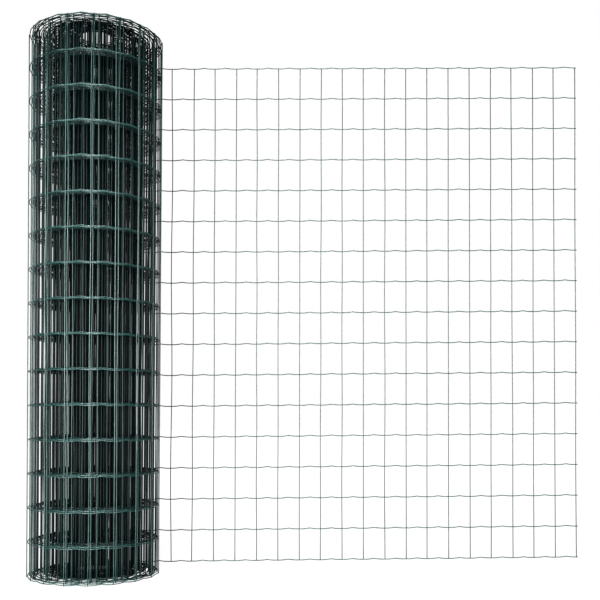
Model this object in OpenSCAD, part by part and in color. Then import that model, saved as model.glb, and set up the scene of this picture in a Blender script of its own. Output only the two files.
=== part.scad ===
// Roll of welded wire fencing with a coat of green plastic, standing on end,
// with its free end drawn out flat from the back of the roll.
// Millimetres. The origin is on the axis of the roll at the floor, +Z is up,
// and the free end runs towards +X.

/* [Mesh] */
// Diameter of the wire over its plastic coat
wire_d = 2; // [1.6:0.1:3]
// Number of line wires up the height of the fencing
line_count = 17; // [5:1:25]
// Height from one line wire to the next
line_pitch = 75; // [50:1:100]
// Distance from one cross wire to the next
cross_pitch = 52; // [40:1:80]
// Depth that two wires sink into each other at a weld
weld_sink = 0.5; // [0.2:0.1:0.8]
// Height of the crimp in a line wire, midway between two cross wires
crimp_rise = 2; // [0.5:0.5:4]
// Length of that crimp along the line wire
crimp_length = 20; // [10:1:30]

/* [Roll] */
// Diameter of the hole through the roll
bore_d = 64; // [40:1:150]
// Turns of fencing wound around the hole
turns = 42; // [10:1:60]
// Depth that each turn sinks into the mesh of the turn under it
turn_nest = 0.75; // [0.2:0.05:0.75]
// Depth of the grooves between the turns at each end of the roll
groove_depth = 4; // [3:0.5:10]

/* [Free end] */
// Cross wires in the length that is drawn out flat
free_cross_count = 22; // [4:1:23]
// Flat length from the back of the roll to the first cross wire
lead_length = 46; // [20:1:60]
// Length of line wire left beyond the last cross wire
wire_stub = 2; // [1:0.5:10]
// Gap between the roll and the fencing that leaves it
lay_gap = 0.3; // [0.2:0.1:0.8]

/* [Hidden] */

// A cross wire is a prism with this many sides
wire_sides = 6;
// Direction of the back of the roll, where the free end leaves it
back_angle = 90;
// Length that a cutting shape runs past the face it cuts
cut_over = 1;
coat_green = [0.07, 0.25, 0.2];

fence_h = (line_count - 1) * line_pitch + wire_d;
// One thickness of mesh: a line wire with a cross wire welded to its outside
mesh_t = 2 * wire_d - weld_sink;
// Distance from one turn of the roll to the next
turn_pitch = mesh_t - turn_nest;

bore_r = bore_d / 2;
// Radius of the turns that lie under the outermost one
packed_r = bore_r + (turns - 1) * turn_pitch;
roll_r = packed_r + mesh_t;
outer_cross_count = floor(2 * PI * (packed_r + wire_d / 2) / cross_pitch);

free_line_y = roll_r + lay_gap + wire_d / 2;
free_cross_y = free_line_y + wire_d - weld_sink;
free_length = lead_length + (free_cross_count - 1) * cross_pitch + wire_d / 2 + wire_stub;

// One upright cross wire with a corner towards +X
module cross_wire() {
    cylinder(d = wire_d, h = fence_h, $fn = wire_sides);
}

// Half of the section through the roll: the packed turns, with the line wires
// of the outermost turn standing out from them and a groove after each turn
module roll_section() {
    difference() {
        union() {
            translate([bore_r, 0])
                square([packed_r - bore_r, fence_h]);
            for (line = [0 : line_count - 1])
                translate([packed_r - wire_d, line * line_pitch])
                    square([2 * wire_d, wire_d]);
        }
        for (turn = [0 : turns - 2], end_z = [-cut_over, fence_h - groove_depth])
            translate([bore_r + turn * turn_pitch + wire_d, end_z])
                square([turn_pitch - wire_d, groove_depth + cut_over]);
    }
}

module wound_roll() {
    color(coat_green)
        union() {
            rotate_extrude($fn = 180)
                roll_section();
            for (wire = [0 : outer_cross_count - 1])
                rotate(back_angle + wire * 360 / outer_cross_count)
                    translate([roll_r - wire_d / 2, 0, 0])
                        cross_wire();
        }
}

// Middle line of a line wire in the free end: level at each cross wire,
// with one crimp in each space between two of them
function crimped_line() = concat(
    [[0, 0]],
    [for (space = [0 : free_cross_count - 2], step = [-1 : 1])
        [
            lead_length + (space + 0.5) * cross_pitch + step * crimp_length / 2,
            step == 0 ? crimp_rise : 0
        ]],
    [[free_length, 0]]
);

// One line wire of the free end, square in section
module free_line_wire() {
    line = crimped_line();
    last = len(line) - 1;
    upper = [for (i = [0 : last]) line[i] + [0, wire_d]];
    lower = [for (i = [0 : last]) line[last - i]];
    rotate([90, 0, 0])
        linear_extrude(wire_d, center = true)
            polygon(concat(upper, lower));
}

module free_end() {
    color(coat_green)
        union() {
            for (line = [0 : line_count - 1])
                translate([0, free_line_y, line * line_pitch])
                    free_line_wire();
            for (wire = [0 : free_cross_count - 1])
                translate([lead_length + wire * cross_pitch, free_cross_y, 0])
                    rotate(90)
                        cross_wire();
        }
}

wound_roll();
free_end();
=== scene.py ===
"""A roll of green coated wire fencing, standing on end with its free end drawn out flat.

The fencing is made flat, as a long strip of welded mesh, and is then wound along one path:
straight for the free end, and turn inside turn for the roll. Sizes are in metres.
"""

import math
from collections import namedtuple

import bpy
import numpy as np
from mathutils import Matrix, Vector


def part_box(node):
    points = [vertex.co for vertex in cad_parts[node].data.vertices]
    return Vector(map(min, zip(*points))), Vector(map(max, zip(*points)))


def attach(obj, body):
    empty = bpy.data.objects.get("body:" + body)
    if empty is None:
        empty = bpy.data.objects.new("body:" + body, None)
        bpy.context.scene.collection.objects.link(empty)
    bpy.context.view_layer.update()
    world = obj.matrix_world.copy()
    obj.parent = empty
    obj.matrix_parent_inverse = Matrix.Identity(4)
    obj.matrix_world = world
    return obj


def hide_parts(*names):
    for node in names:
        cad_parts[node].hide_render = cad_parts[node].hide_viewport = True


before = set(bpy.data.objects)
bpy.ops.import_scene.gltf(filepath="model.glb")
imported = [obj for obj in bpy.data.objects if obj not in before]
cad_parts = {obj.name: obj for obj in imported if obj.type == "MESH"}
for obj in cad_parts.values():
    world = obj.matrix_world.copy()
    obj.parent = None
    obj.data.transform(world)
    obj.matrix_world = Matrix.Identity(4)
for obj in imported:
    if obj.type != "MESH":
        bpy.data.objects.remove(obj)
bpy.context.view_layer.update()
roll_low, roll_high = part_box("wound_roll")
end_low, end_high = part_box("free_end")

# The mesh
WIRE = 0.002
WELD_SINK = 0.0005
LINE_PITCH = 0.075
CROSS_PITCH = 0.052
CRIMP_RISE = 0.002
CRIMP_LENGTH = 0.030
# Length of line wire left beyond the first cross wire and the last
WIRE_STUB = 0.003
FENCE_HEIGHT = roll_high.z - roll_low.z
LINE_COUNT = round((FENCE_HEIGHT - WIRE) / LINE_PITCH) + 1
# The cross wires lie on the outside of the line wires, which is this side of the flat strip
CROSS_OFFSET = WIRE - WELD_SINK
OUTWARD = -1
# The rows of line wire in each piece: the first row, counted from the floor, and how many
LINE_BANDS = {
    "line_wires_low": (0, 5),
    "line_wires_lower": (5, 4),
    "line_wires_upper": (9, 4),
    "line_wires_top": (13, 4),
}

# The winding, by the radius of its line wires
LINE_Y = end_low.y + WIRE / 2
FREE_LENGTH = end_high.x
BORE_RADIUS = 0.034
TURN_PITCH = 0.0026
# The radius of the outermost turn at the back, left, front and right of the roll
OUTER_RADII = (LINE_Y, 0.1449, 0.1448, 0.1439)
# The outer turns are loose: how far each lies inside the outermost one at the left, front and right.
# At the back they lie close together
LEFT_GAPS = (0, 0.006, 0.009, 0.012, 0.015, 0.0185, 0.0235, 0.0262)
FRONT_GAPS = (0, 0.004, 0.008, 0.013, 0.0175, 0.024, 0.029, 0.036)
RIGHT_GAPS = (0, 0.004, 0.007, 0.010, 0.013, 0.0165, 0.020, 0.0235)
LOOSE_TURNS = len(FRONT_GAPS)
# The turns inside them are packed. The outermost of those lies about a middle this far behind the roll's
# axis, and the innermost about the axis
PACKED_SHIFT = 0.0122
PACKED_BACK = LINE_Y - LOOSE_TURNS * TURN_PITCH
PACKED_RADIUS = PACKED_BACK - PACKED_SHIFT
# The roll is wider at its top than at its foot, by this share of its radius
TOP_FLARE = 0.0217
# The free end rises towards its tip by this slope, from this far past the roll's axis
FREE_RISE = 0.0101
RISE_FROM = 0.120
POINTS_PER_TURN = 120
QUARTER = POINTS_PER_TURN // 4
# Where the cross wires of each turn stand at the front of the roll: the first three turns listed,
# and each further one some share of a cell past the last, by a seed that leaves few gaps right through
FRONT_PHASES = (0.0200, 0.0228, 0.0340)
PHASE_STEPS = (0.2, 0.8)
PHASE_SEED = 53827
# The free end keeps its even cells up to this far from the roll's axis, where the roll hides it
EVEN_TO = 0.100
# How far the turns have slid up out of the roll: the innermost the most, and each a little by chance
SLIDE = 0.009
SLIDE_CHANCE = 0.004

# How finely a wire is made: six slices to a cell of line wire, and two to a row of cross wire
WIRE_SIDES = 6
CRIMP_CUTS = 5
CROSS_CUTS = 2 * (LINE_COUNT - 1) - 1

# Unevenness of the mesh, seeded. A cross wire stands off its place, leans, and bows in waves of some length
SEED = 7
CROSS_SHIFT = 0.0004
CROSS_LEAN = 0.0006
CROSS_BOW = 0.0005
BOW_LENGTHS = (0.25, 0.6)
# How many times as uneven as the free end the loose turns are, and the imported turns
LOOSE_SHARE = 2.0
PACKED_SHARE = 0.3
# A line wire rises and falls by this much, in two waves of these lengths. Each wave is further on by so
# many radians for each metre of height, so that no two rows are alike. The long wave starts this far on
LINE_WAVE = 0.0004
WAVE_LENGTHS = (0.61, 0.17)
WAVE_SHIFTS = (5, 11)
WAVE_START = 7

# The coat. It has its full colour and shine where the painted light is whole, and the inner turns get a
# dark painted shade
COAT_GREEN = (0.005, 0.037, 0.033, 1)
COAT_PALE = (0.010, 0.050, 0.045, 1)
# Painted shade: the dark colours that stand in for the deep shade inside the roll
COAT_PAINTED_SHADE = (0.001, 0.003, 0.003, 1)
COAT_PAINTED_SHADE_PALE = (0.009, 0.014, 0.014, 1)
ROUGH = (0.24, 0.36)
SHINE = 0.9
# The weak shine left in the painted shade
SHINE_IN_PAINTED_SHADE = 0.03
# Tone differs from wire to wire, and only slowly along one wire. This range of the noise fills the tones
TONE_SCALE = 260
TONE_STRETCH = 0.03
TONE_RANGE = (0.35, 0.65)
GRAIN_SCALE = 900
GRAIN_DEPTH = 0.00005

# Share of painted light on the wires of each turn, from the outermost inwards: none further in
# Below 1 the coat is painted darker and duller, as painted shade
LINE_PAINTED_LIGHT = (1, 1, 0.9, 0.8, 0.7, 0.6, 0.6, 0.7, 0.8)
CROSS_PAINTED_LIGHT = (1, 1, 0.6, 0.3, 0.3, 0.3, 0.3, 0.3, 0.3, 0.25, 0.2, 0.15, 0.1)
# Painted shade around the roll: the painted light falls off from the front by this power. These shares
# of it are painted on the outermost turn and on the inner turns at the back
FRONT_FOCUS = 6
OUTER_BACK_PAINTED_LIGHT = 0.45
INNER_BACK_PAINTED_LIGHT = 0.12
# Painted shade at the top: this share of the painted light is left at the top of the roll, and all of it up
# to this height
TOP_PAINTED_LIGHT = 0.5
TOP_FROM = 1.05
# Share of painted light on the free end, which stands at the back. Next to the roll it is less, as a
# painted shade, and it is whole at this distance from the roll's side
FREE_PAINTED_LIGHT = 0.55
FREE_PAINTED_SHADE = 0.05
FREE_SHADE_LENGTH = 0.12

# The floor, which glows so that it is as pale as the backdrop
FLOOR_SIZE = 30
FLOOR_TONE = 0.06
FLOOR_ROUGH = 0.9
FLOOR_GLOW = 0.95
# Inside the roll its glow is dimmed to a painted shadow: this dim, out to the first of these radii. The
# middle of the painted shadow lies behind the roll's axis by this much, because the imported turns lie
# towards the back
FLOOR_PAINTED_SHADOW = 0.12
SHADE_FADE = (0.070, 0.100)
SHADE_BACK = 0.028

# Light that comes from all around: strong from low down and weak from above. It fades between these two
# heights of the direction that it comes from
FILL_LOW = 1.0
FILL_HIGH = 0.05
FILL_FADE = (0.08, 0.35)

# The camera, fitted to the wires of the flat free end in the photo. Its angles are in degrees
CAMERA_PLACE = (0.43666, -1.95785, 0.36603)
CAMERA_TILT = 1.1147
CAMERA_ROLL = -0.0964
CAMERA_TURN = -0.7291
CAMERA_LENS = 51.953
CAMERA_SENSOR = 36
CAMERA_SHIFT = 0.15679
CAMERA_REACH = 100
# Below 1 it deepens the dark tones, as in the photo
PICTURE_GAMMA = 0.8

WHITE = (1, 1, 1, 1)

# The line that the fencing is wound along: the length along it at each of its points, some spots on the
# flat strip with the place of each along the line, and the curve that bends the mesh
Winding = namedtuple("Winding", "along strip place path")


def deselect():
    """Leave edit mode and select nothing, so that an operator acts only on what is made next."""
    if bpy.context.object and bpy.context.object.mode != "OBJECT":
        bpy.ops.object.mode_set(mode="OBJECT")
    bpy.ops.object.select_all(action="DESELECT")


def points_of(piece):
    """The piece's points as an array of x, y, z."""
    flat = np.empty(len(piece.data.vertices) * 3)
    piece.data.vertices.foreach_get("co", flat)
    return flat.reshape(-1, 3)


def move_points(piece, points):
    """Put the piece's points at these places."""
    piece.data.vertices.foreach_set("co", points.ravel())
    piece.data.update()


def subdivide_along(piece, axis, cuts):
    """Cut the piece into slices along one axis, by its edges that run that way."""
    bpy.ops.object.mode_set(mode="EDIT")
    bpy.ops.mesh.select_mode(type="EDGE")
    bpy.ops.mesh.select_all(action="DESELECT")
    bpy.ops.object.mode_set(mode="OBJECT")
    points = points_of(piece)
    for edge in piece.data.edges:
        a, b = edge.vertices
        edge.select = abs(points[a, axis] - points[b, axis]) > WIRE
    bpy.ops.object.mode_set(mode="EDIT")
    bpy.ops.mesh.subdivide(number_cuts=cuts)
    bpy.ops.object.mode_set(mode="OBJECT")


def repeat(piece, count, step, merge=False):
    """Array the piece along a step, with the joints between the copies closed where asked."""
    array = piece.modifiers.new("repeat", "ARRAY")
    array.count = count
    array.use_relative_offset = False
    array.use_constant_offset = True
    array.constant_offset_displace = step
    array.use_merge_vertices = merge
    array.merge_threshold = WIRE / 100
    bpy.ops.object.modifier_apply(modifier=array.name)


def ease(share):
    """Ease a share from 0 to 1, level at both ends and held beyond them."""
    share = np.clip(share, 0, 1)
    return share * share * (3 - 2 * share)


def winding_points():
    """The fencing's line as seen from above, from the tip of the free end to the innermost turn."""
    back_gaps = TURN_PITCH * np.arange(LOOSE_TURNS)
    gaps = np.stack([back_gaps, LEFT_GAPS, FRONT_GAPS, RIGHT_GAPS], axis=1)
    knots = np.append(np.array(OUTER_RADII) - gaps, PACKED_BACK)
    quarter = np.arange(LOOSE_TURNS * POINTS_PER_TURN) / QUARTER
    first = quarter.astype(int)
    share = ease(quarter - first)
    loose = knots[first] * (1 - share) + knots[first + 1] * share
    packed_turns = (PACKED_RADIUS - BORE_RADIUS) / TURN_PITCH
    step = np.arange(0, packed_turns, 1 / POINTS_PER_TURN)
    radius = np.concatenate([loose, PACKED_RADIUS - TURN_PITCH * step])
    angle = math.pi / 2 + 2 * math.pi * np.arange(len(radius)) / POINTS_PER_TURN
    turns = np.stack([radius * np.cos(angle), radius * np.sin(angle)], axis=1)
    turns[len(loose) :, 1] += PACKED_SHIFT * (1 - step / packed_turns)
    tip = np.array([[FREE_LENGTH, LINE_Y]])
    return np.concatenate([tip, turns])


def strip_places(along):
    """Spots on the flat strip, and where each lies along the winding.

    The turns at the front keep even cells. The hidden back of each turn takes up what is left over.
    """
    phases = list(FRONT_PHASES)
    rng = np.random.default_rng(PHASE_SEED)
    strip = [0.0, along[1] - EVEN_TO]
    place = [0.0, along[1] - EVEN_TO]
    shift = 0.0
    for start in range(1, len(along) - 3 * QUARTER, POINTS_PER_TURN):
        left, front, right = start + QUARTER, start + 2 * QUARTER, start + 3 * QUARTER
        turn = start // POINTS_PER_TURN
        if turn == len(phases):
            phases.append((phases[-1] + rng.uniform(*PHASE_STEPS) * CROSS_PITCH) % CROSS_PITCH)
        # The shift that puts a cross wire at its phase from the front, and changes the cells least
        wanted = -((along[front] + phases[turn] - WIRE_STUB) % CROSS_PITCH)
        shift = wanted + round((shift - wanted) / CROSS_PITCH) * CROSS_PITCH
        strip += [along[left] + shift, along[right] + shift]
        place += [along[left], along[right]]
    return np.array(strip), np.array(place)


def winding_curve(points):
    """The winding's line as a curve that bends the flat mesh."""
    curve = bpy.data.curves.new("winding_path", "CURVE")
    curve.dimensions = "3D"
    curve.twist_mode = "Z_UP"
    spline = curve.splines.new("POLY")
    spline.points.add(len(points) - 1)
    rows = np.zeros((len(points), 4))
    rows[:, :2] = points
    rows[:, 3] = 1
    spline.points.foreach_set("co", rows.ravel())
    path = bpy.data.objects.new("winding_path", curve)
    bpy.context.scene.collection.objects.link(path)
    return path


def make_winding():
    """Work out the winding and make its curve."""
    points = winding_points()
    along = np.concatenate([[0], np.cumsum(np.linalg.norm(np.diff(points, axis=0), axis=1))])
    strip, place = strip_places(along)
    return Winding(along, strip, place, winding_curve(points))


def slide_up(places, along):
    """How far the fencing has slid up at places along the winding: none on the outermost turn."""
    knots = along[1 + 2 * QUARTER :: 2 * QUARTER]
    heights = np.linspace(0, SLIDE, len(knots))
    heights += np.random.default_rng(SEED).uniform(0, SLIDE_CHANCE, len(knots))
    heights[:2] = 0
    return np.interp(places, knots, heights)


def free_rise(places, along):
    """How far the free end has risen at places along the winding."""
    return FREE_RISE * np.clip(along[1] - RISE_FROM - places, 0, None)


def flare(piece, places, along):
    """Widen the roll towards its top, from nothing where the free end leaves it."""
    share = ease((places - along[1]) / (along[1 + QUARTER] - along[1]))
    points = points_of(piece)
    points[:, :2] *= 1 + (share * TOP_FLARE * (points[:, 2] / FENCE_HEIGHT - 0.5))[:, None]
    move_points(piece, points)


def painted_light_on(places, heights, along, by_turn):
    """Share of painted light at places along the winding, at these heights: below 1 the coat gets painted
    shade.
    """
    turn = np.interp(places, along[1:], np.arange(len(along) - 1) / POINTS_PER_TURN)
    shares = np.zeros(int(turn.max()) + 1)
    shares[: len(by_turn)] = by_turn
    back = np.where(turn < 1, OUTER_BACK_PAINTED_LIGHT, INNER_BACK_PAINTED_LIGHT)
    facing = back + (1 - back) * np.sin(math.pi * turn) ** FRONT_FOCUS
    top = ease((heights - TOP_FROM) / (FENCE_HEIGHT - TOP_FROM))
    on_roll = shares[turn.astype(int)] * facing * (1 - (1 - TOP_PAINTED_LIGHT) * top)
    right_side = along[1] - OUTER_RADII[3]
    past_roll = (right_side - places) / FREE_SHADE_LENGTH
    on_free_end = FREE_PAINTED_SHADE + (FREE_PAINTED_LIGHT - FREE_PAINTED_SHADE) * ease(past_roll)
    # The one goes over into the other in the first quarter of a turn
    return on_free_end + (on_roll - on_free_end) * ease(4 * turn)


def wind(piece, winding, painted_light_by_turn):
    """Lay a flat piece out along the winding, bend it to the path and note the painted light on it."""
    points = points_of(piece)
    places = np.interp(points[:, 0], winding.strip, winding.place)
    points[:, 0] = places
    points[:, 2] += slide_up(places, winding.along) + free_rise(places, winding.along)
    move_points(piece, points)
    bend = piece.modifiers.new("wind", "CURVE")
    bend.object = winding.path
    bend.deform_axis = "POS_X"
    bpy.ops.object.modifier_apply(modifier=bend.name)
    flare(piece, places, winding.along)
    # The share of painted light, which paints shade into the coat's colour and shine
    light = piece.data.attributes.new("light", "FLOAT", "POINT")
    shares = painted_light_on(places, points[:, 2], winding.along, painted_light_by_turn)
    light.data.foreach_set("value", shares.astype(np.float32))
    bpy.ops.object.shade_smooth()


def crimp(along):
    """Height of the crimp at a place along one cell."""
    share = np.clip(np.abs(along - CROSS_PITCH / 2) / (CRIMP_LENGTH / 2), 0, 1)
    return CRIMP_RISE * np.cos(share * math.pi / 2) ** 2


def line_wave(along, row_height):
    """Slow rise and fall of a line wire, different in each row."""
    long_wave, short_wave = (
        2 * math.pi * along / length + shift * row_height
        for length, shift in zip(WAVE_LENGTHS, WAVE_SHIFTS)
    )
    wave = np.sin(long_wave + WAVE_START) + np.sin(short_wave)
    return LINE_WAVE * (1 + wave / 2) / 2


def line_wires(name, first_row, row_count, cells, winding):
    """Some rows of line wire, from the tip of the free end to the middle of the roll."""
    deselect()
    # One cell of one wire, lying along X with an edge on top
    bpy.ops.mesh.primitive_cylinder_add(
        vertices=WIRE_SIDES,
        radius=WIRE / 2,
        depth=CROSS_PITCH,
        end_fill_type="NOTHING",
        rotation=(math.pi / 2, 0, math.pi / 2),
        location=(CROSS_PITCH / 2, 0, 0),
    )
    piece = bpy.context.object
    piece.name = name
    piece.data.name = name
    bpy.ops.object.transform_apply(location=True, rotation=True)
    subdivide_along(piece, 0, CRIMP_CUTS)
    points = points_of(piece)
    points[:, 2] += crimp(points[:, 0])
    move_points(piece, points)

    # The whole wire, with its stubs drawn out and its ends closed
    repeat(piece, cells, (CROSS_PITCH, 0, 0), merge=True)
    points = points_of(piece)
    points[points[:, 0] < WIRE, 0] -= WIRE_STUB
    points[points[:, 0] > cells * CROSS_PITCH - WIRE, 0] += WIRE_STUB
    points[:, 0] += WIRE_STUB
    move_points(piece, points)
    bpy.ops.object.mode_set(mode="EDIT")
    bpy.ops.mesh.select_all(action="SELECT")
    bpy.ops.mesh.fill_holes(sides=WIRE_SIDES)
    bpy.ops.object.mode_set(mode="OBJECT")

    # All the rows, wound up
    repeat(piece, row_count, (0, 0, LINE_PITCH))
    points = points_of(piece)
    points[:, 2] += WIRE / 2 + first_row * LINE_PITCH
    row_height = np.round(points[:, 2] / LINE_PITCH) * LINE_PITCH
    points[:, 2] += line_wave(points[:, 0], row_height)
    move_points(piece, points)
    wind(piece, winding, LINE_PAINTED_LIGHT)
    return piece


def cross_wire_sway(points, count, winding):
    """How far points of the cross wires stand off their even places along the strip."""
    loose_from = np.interp(winding.along[1], winding.place, winding.strip)
    loose_to = np.interp(winding.along[1 + LOOSE_TURNS * POINTS_PER_TURN], winding.place, winding.strip)
    start = np.arange(count) * CROSS_PITCH
    uneven = np.where(start < loose_to, LOOSE_SHARE, PACKED_SHARE)
    uneven[start < loose_from] = 1
    rng = np.random.default_rng(SEED)
    wire = np.round((points[:, 0] - WIRE_STUB) / CROSS_PITCH).astype(int)
    height = points[:, 2]
    shift = (rng.normal(0, CROSS_SHIFT, count) * uneven)[wire]
    lean = (rng.normal(0, CROSS_LEAN, count) * uneven)[wire]
    bow = (rng.normal(0, CROSS_BOW, count) * uneven)[wire]
    phase = rng.uniform(0, 2 * math.pi, count)[wire]
    length = rng.uniform(*BOW_LENGTHS, count)[wire]
    leaning = lean * (2 * height / FENCE_HEIGHT - 1)
    bowing = bow * np.sin(2 * math.pi * height / length + phase)
    return shift + leaning + bowing


def cross_wires(count, winding):
    """All the cross wires, on the outside of the line wires."""
    deselect()
    bpy.ops.mesh.primitive_cylinder_add(
        vertices=WIRE_SIDES,
        radius=WIRE / 2,
        depth=FENCE_HEIGHT,
        end_fill_type="NGON",
        location=(WIRE_STUB, CROSS_OFFSET * OUTWARD, FENCE_HEIGHT / 2),
    )
    piece = bpy.context.object
    piece.name = "cross_wires"
    piece.data.name = "cross_wires"
    bpy.ops.object.transform_apply(location=True)
    subdivide_along(piece, 2, CROSS_CUTS)
    repeat(piece, count, (CROSS_PITCH, 0, 0))
    points = points_of(piece)
    points[:, 0] += cross_wire_sway(points, count, winding)
    move_points(piece, points)
    wind(piece, winding, CROSS_PAINTED_LIGHT)
    return piece


def map_range(tree, value, source, target, interpolation="LINEAR"):
    """A value carried from one range to another, and held at the ends."""
    node = tree.nodes.new("ShaderNodeMapRange")
    node.interpolation_type = interpolation
    node.inputs["From Min"].default_value = source[0]
    node.inputs["From Max"].default_value = source[1]
    node.inputs["To Min"].default_value = target[0]
    node.inputs["To Max"].default_value = target[1]
    tree.links.new(value, node.inputs["Value"])
    return node.outputs["Result"]


def colour_mix(tree, factor):
    """A node that mixes two colours by a factor."""
    node = tree.nodes.new("ShaderNodeMix")
    node.data_type = "RGBA"
    tree.links.new(factor, node.inputs["Factor"])
    return node


def green_coat():
    """Dark green plastic coat, satin, uneven in tone from wire to wire and with a fine grain. Shade is
    painted into it: darker and duller where the painted light is low.
    """
    material = bpy.data.materials.new("green_coat")
    material.use_nodes = True
    tree = material.node_tree
    shader = tree.nodes["Principled BSDF"]
    position = tree.nodes.new("ShaderNodeTexCoord")
    # The share of painted light noted on the wires
    lit = tree.nodes.new("ShaderNodeAttribute")
    lit.attribute_name = "light"

    stretch = tree.nodes.new("ShaderNodeMapping")
    stretch.inputs["Scale"].default_value = (1, 1, TONE_STRETCH)
    noise = tree.nodes.new("ShaderNodeTexNoise")
    noise.inputs["Scale"].default_value = TONE_SCALE
    tree.links.new(position.outputs["Object"], stretch.inputs["Vector"])
    tree.links.new(stretch.outputs["Vector"], noise.inputs["Vector"])
    tone = map_range(tree, noise.outputs["Fac"], TONE_RANGE, (0, 1))

    # Painted shade: dark tones where the painted light is low, the coat's own green where it is whole
    shade = colour_mix(tree, lit.outputs["Fac"])
    for socket, dark, pale in (("A", COAT_PAINTED_SHADE, COAT_PAINTED_SHADE_PALE), ("B", COAT_GREEN, COAT_PALE)):
        colour = colour_mix(tree, tone)
        colour.inputs["A"].default_value = dark
        colour.inputs["B"].default_value = pale
        tree.links.new(colour.outputs["Result"], shade.inputs[socket])
    tree.links.new(shade.outputs["Result"], shader.inputs["Base Color"])

    gloss = map_range(tree, tone, (0, 1), ROUGH)
    tree.links.new(gloss, shader.inputs["Roughness"])
    # The painted shade also takes the shine away
    shine = map_range(tree, lit.outputs["Fac"], (0, 1), (SHINE_IN_PAINTED_SHADE, SHINE))
    tree.links.new(shine, shader.inputs["Specular IOR Level"])

    grain = tree.nodes.new("ShaderNodeTexNoise")
    grain.inputs["Scale"].default_value = GRAIN_SCALE
    bump = tree.nodes.new("ShaderNodeBump")
    bump.inputs["Distance"].default_value = GRAIN_DEPTH
    tree.links.new(position.outputs["Object"], grain.inputs["Vector"])
    tree.links.new(grain.outputs["Fac"], bump.inputs["Height"])
    tree.links.new(bump.outputs["Normal"], shader.inputs["Normal"])
    return material


def pale_floor():
    """The floor's material: it glows, apart from a painted shadow inside the roll, where the glow is
    dimmed.
    """
    material = bpy.data.materials.new("floor")
    material.use_nodes = True
    tree = material.node_tree
    shader = tree.nodes["Principled BSDF"]
    shader.inputs["Base Color"].default_value = (FLOOR_TONE, FLOOR_TONE, FLOOR_TONE, 1)
    shader.inputs["Roughness"].default_value = FLOOR_ROUGH
    shader.inputs["Specular IOR Level"].default_value = 0
    shader.inputs["Emission Color"].default_value = WHITE
    position = tree.nodes.new("ShaderNodeTexCoord")
    shade_middle = tree.nodes.new("ShaderNodeMapping")
    shade_middle.inputs["Location"].default_value = (0, -SHADE_BACK, 0)
    from_middle = tree.nodes.new("ShaderNodeVectorMath")
    from_middle.operation = "LENGTH"
    tree.links.new(position.outputs["Object"], shade_middle.inputs["Vector"])
    tree.links.new(shade_middle.outputs["Vector"], from_middle.inputs["Vector"])
    # Painted shadow: the glow is dimmed inside the roll
    glow = map_range(tree, from_middle.outputs["Value"], SHADE_FADE, (FLOOR_PAINTED_SHADOW, FLOOR_GLOW))
    tree.links.new(glow, shader.inputs["Emission Strength"])
    return material


def make_floor():
    """The floor. It casts no shadow, so that the light it throws up can come from below it."""
    deselect()
    bpy.ops.mesh.primitive_plane_add(size=FLOOR_SIZE)
    plane = bpy.context.object
    plane.name = "floor"
    plane.data.materials.append(pale_floor())
    plane.visible_shadow = False
    return plane


def studio():
    """A world that the camera sees as white, and that lights the object mostly from low down."""
    world = bpy.data.worlds.new("studio")
    world.use_nodes = True
    tree = world.node_tree
    backdrop = tree.nodes["Background"]
    backdrop.inputs["Color"].default_value = WHITE
    fill = tree.nodes.new("ShaderNodeBackground")
    fill.inputs["Color"].default_value = WHITE
    direction = tree.nodes.new("ShaderNodeTexCoord")
    split = tree.nodes.new("ShaderNodeSeparateXYZ")
    tree.links.new(direction.outputs["Generated"], split.inputs["Vector"])
    strength = map_range(tree, split.outputs["Z"], FILL_FADE, (FILL_LOW, FILL_HIGH), "SMOOTHSTEP")
    tree.links.new(strength, fill.inputs["Strength"])
    seen = tree.nodes.new("ShaderNodeLightPath")
    choice = tree.nodes.new("ShaderNodeMixShader")
    tree.links.new(seen.outputs["Is Camera Ray"], choice.inputs["Fac"])
    tree.links.new(fill.outputs["Background"], choice.inputs[1])
    tree.links.new(backdrop.outputs["Background"], choice.inputs[2])
    tree.links.new(choice.outputs["Shader"], tree.nodes["World Output"].inputs["Surface"])
    return world


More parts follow.
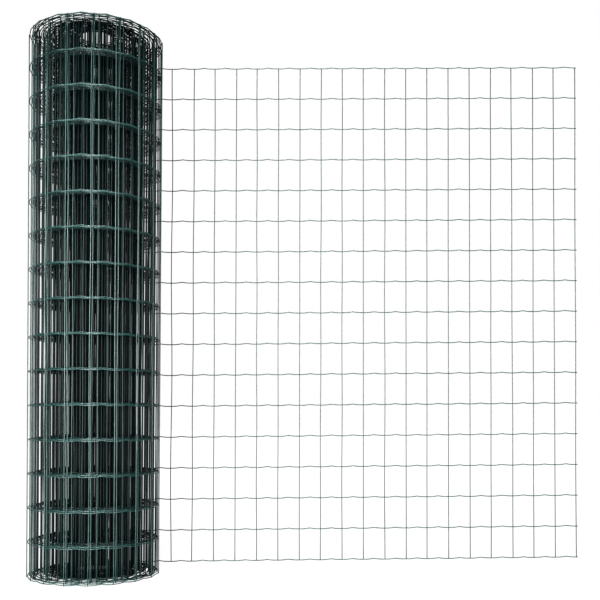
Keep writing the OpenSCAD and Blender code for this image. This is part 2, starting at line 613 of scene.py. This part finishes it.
def soft_sun(name, azimuth, elevation, strength, spread, glint=True):
    """A broad soft light far off. Azimuth 0 is in front of the object, and 90 degrees to its right."""
    light = bpy.data.lights.new(name, "SUN")
    light.energy = strength
    light.angle = math.radians(spread)
    lamp = bpy.data.objects.new(name, light)
    lamp.rotation_euler = (math.radians(90 - elevation), 0, math.radians(azimuth))
    lamp.visible_glossy = glint
    bpy.context.scene.collection.objects.link(lamp)


def photo_camera():
    """The camera, as it was fitted to the photo."""
    camera_data = bpy.data.cameras.new("camera")
    camera_data.lens = CAMERA_LENS
    camera_data.sensor_width = CAMERA_SENSOR
    camera_data.shift_y = CAMERA_SHIFT
    camera_data.clip_end = CAMERA_REACH
    camera = bpy.data.objects.new("camera", camera_data)
    camera.location = CAMERA_PLACE
    camera.rotation_euler = [math.radians(angle) for angle in (90 + CAMERA_TILT, CAMERA_ROLL, CAMERA_TURN)]
    bpy.context.scene.collection.objects.link(camera)
    return camera


# The fencing
winding = make_winding()
cells = int((winding.strip[-1] - 2 * WIRE_STUB) / CROSS_PITCH)
pieces = []
for name, (first_row, row_count) in LINE_BANDS.items():
    pieces.append(line_wires(name, first_row, row_count, cells, winding))
pieces.append(cross_wires(cells + 1, winding))
bpy.data.curves.remove(winding.path.data)

coat = green_coat()
for piece in pieces:
    piece.data.materials.append(coat)
    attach(piece, "root")
    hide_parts("wound_roll", "free_end")

# The floor, the light and the camera
floor = make_floor()
bpy.context.scene.world = studio()
soft_sun("key_light", azimuth=-40, elevation=6, strength=4.4, spread=26)
soft_sun("second_light", azimuth=40, elevation=6, strength=3.8, spread=26)
# Light that the pale floor throws up
soft_sun("bounce_light", azimuth=0, elevation=-10, strength=5.0, spread=26)
soft_sun("top_light", azimuth=0, elevation=55, strength=3.8, spread=16)
# A light on the back, which makes no glints along the edges of the wires as they are seen from the front
soft_sun("back_light", azimuth=186, elevation=3, strength=14, spread=16, glint=False)
bpy.context.scene.camera = photo_camera()
bpy.context.scene.view_settings.view_transform = "Standard"
bpy.context.scene.view_settings.gamma = PICTURE_GAMMA
